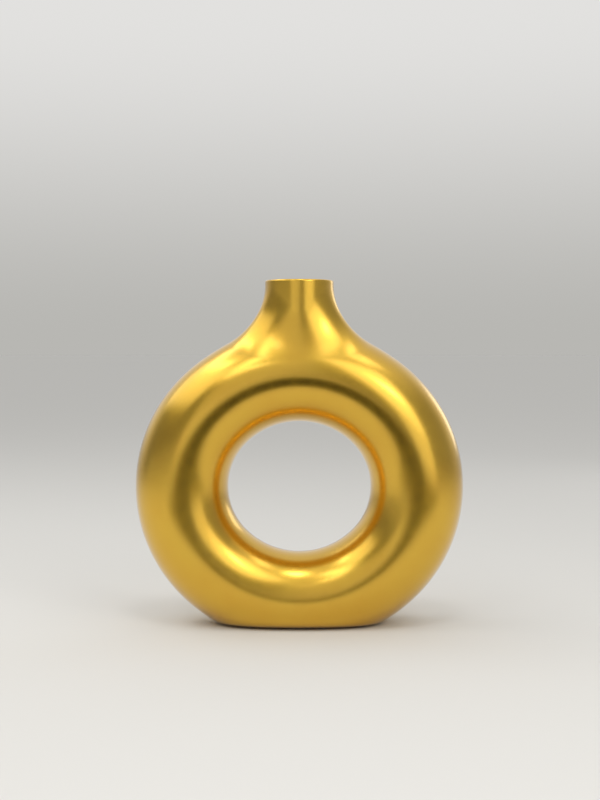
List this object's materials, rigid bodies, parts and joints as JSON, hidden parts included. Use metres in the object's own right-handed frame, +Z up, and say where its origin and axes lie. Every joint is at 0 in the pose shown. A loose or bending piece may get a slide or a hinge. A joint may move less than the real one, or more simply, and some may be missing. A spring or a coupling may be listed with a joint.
{
  "type": "donut vase",
  "caption": "Upright ring-shaped vase of hollow round pipe with a short open neck that flows into the ring, a flat foot and rubber feet; holds dried or fresh stems.",
  "frame": {"origin": "under the middle of the foot, on the plane of the rubber feet's undersides", "axes": "+Z up along the neck, X across the ring's width, the ring's wide side facing -Y"},
  "size_m": [0.2, 0.0564, 0.21],
  "materials": {
    "gold_metal": "satin gold lacquer on pressed sheet",
    "rubber": "moulded matt rubber"
  },
  "bodies": {
    "root": {"front_shell": "gold_metal", "rear_shell": "gold_metal", "neck_collar": "gold_metal", "base_plate": "gold_metal", "rubber_foot_front_left": "rubber", "rubber_foot_front_right": "rubber", "rubber_foot_rear_left": "rubber", "rubber_foot_rear_right": "rubber"}
  },
  "joints": []
}
